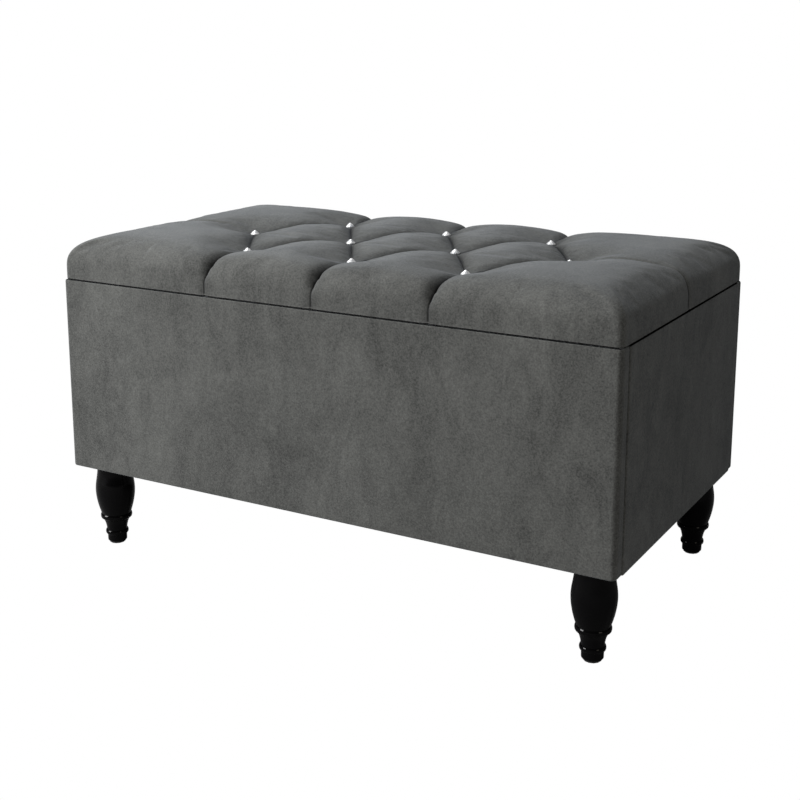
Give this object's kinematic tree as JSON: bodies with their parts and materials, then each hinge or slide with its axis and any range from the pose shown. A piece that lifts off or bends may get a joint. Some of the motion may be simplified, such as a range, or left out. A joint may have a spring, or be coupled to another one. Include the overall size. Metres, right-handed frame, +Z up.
{
  "type": "storage bench",
  "caption": "Upholstered storage bench: hinged seat lid with diamond buttoning and crystal buttons, box body on four black turned legs.",
  "frame": {"origin": "on the floor, under the centre of the bench", "axes": "+X along the length, from the left end to the right end seen from the front; +Y from the front to the hinged back; +Z up"},
  "size_m": [0.85, 0.478, 0.464],
  "materials": {
    "velvet": "matte",
    "black_cloth": "matte",
    "foam": "matte",
    "chipboard": "matte",
    "pine": "matte",
    "black_lacquer": "gloss",
    "steel": "satin",
    "crystal": "polished",
    "rubber": "matte",
    "plastic": "matte"
  },
  "bodies": {
    "box": {"front_panel_board": "chipboard", "front_panel_cover": "velvet", "back_panel_board": "chipboard", "back_panel_cover": "velvet", "left_panel_board": "chipboard", "left_panel_cover": "velvet", "right_panel_board": "chipboard", "right_panel_cover": "velvet", "base_board": "chipboard", "base_dust_cover": "black_cloth", "box_lining": "black_cloth", "corner_block_front_left": "pine", "leg_front_left": "black_lacquer", "leg_bolt_front_left": "steel", "leg_glide_front_left": "plastic", "corner_block_front_right": "pine", "leg_front_right": "black_lacquer", "leg_bolt_front_right": "steel", "leg_glide_front_right": "plastic", "corner_block_back_left": "pine", "leg_back_left": "black_lacquer", "leg_bolt_back_left": "steel", "leg_glide_back_left": "plastic", "corner_block_back_right": "pine", "leg_back_right": "black_lacquer", "leg_bolt_back_right": "steel", "leg_glide_back_right": "plastic", "hinge_box_leaf_left": "steel", "hinge_pin_left": "steel", "stay_box_bracket_left": "steel", "lid_bumper_left": "rubber", "hinge_box_leaf_right": "steel", "hinge_pin_right": "steel", "stay_box_bracket_right": "steel", "lid_bumper_right": "rubber"},
    "lid": {"seat_cover": "velvet", "seat_foam": "foam", "lid_board": "chipboard", "lid_lining": "black_cloth", "crystal_button_1": "crystal", "crystal_button_2": "crystal", "crystal_button_3": "crystal", "crystal_button_4": "crystal", "crystal_button_5": "crystal", "crystal_button_6": "crystal", "crystal_button_7": "crystal", "crystal_button_8": "crystal", "crystal_button_9": "crystal", "crystal_button_10": "crystal", "hinge_lid_leaf_left": "steel", "stay_lid_bracket_left": "steel", "hinge_lid_leaf_right": "steel", "stay_lid_bracket_right": "steel"},
    "stay_lower_left": {"stay_lower_arm_left": "steel", "stay_knee_rivet_left": "steel"},
    "stay_upper_left": {"stay_upper_arm_left": "steel"},
    "stay_lower_right": {"stay_lower_arm_right": "steel", "stay_knee_rivet_right": "steel"},
    "stay_upper_right": {"stay_upper_arm_right": "steel"}
  },
  "joints": [
    {"name": "lid_hinge", "type": "hinge", "parent": "box", "child": "lid", "pos_m": [0, 0.2365, 0.406], "axis": [-1, 0, 0], "range_deg": [0, 100]},
    {"name": "stay_lower_pivot_left", "type": "hinge", "parent": "box", "child": "stay_lower_left", "pos_m": [-0.3989, 0.1965, 0.276], "axis": [-1, 0, 0], "range_deg": [0, 100]},
    {"name": "stay_knee_left", "type": "hinge", "parent": "stay_lower_left", "child": "stay_upper_left", "pos_m": [-0.3964, 0.0665, 0.262], "axis": [-1, 0, 0], "range_deg": [-100, 0]},
    {"name": "stay_lower_pivot_right", "type": "hinge", "parent": "box", "child": "stay_lower_right", "pos_m": [0.3989, 0.1965, 0.276], "axis": [-1, 0, 0], "range_deg": [0, 100]},
    {"name": "stay_knee_right", "type": "hinge", "parent": "stay_lower_right", "child": "stay_upper_right", "pos_m": [0.3964, 0.0665, 0.262], "axis": [-1, 0, 0], "range_deg": [-100, 0]}
  ],
  "couplings": [
    {"joint": "stay_lower_pivot_left", "follows": "lid_hinge", "ratio": 1},
    {"joint": "stay_knee_left", "follows": "lid_hinge", "ratio": -1},
    {"joint": "stay_lower_pivot_right", "follows": "lid_hinge", "ratio": 1},
    {"joint": "stay_knee_right", "follows": "lid_hinge", "ratio": -1}
  ]
}
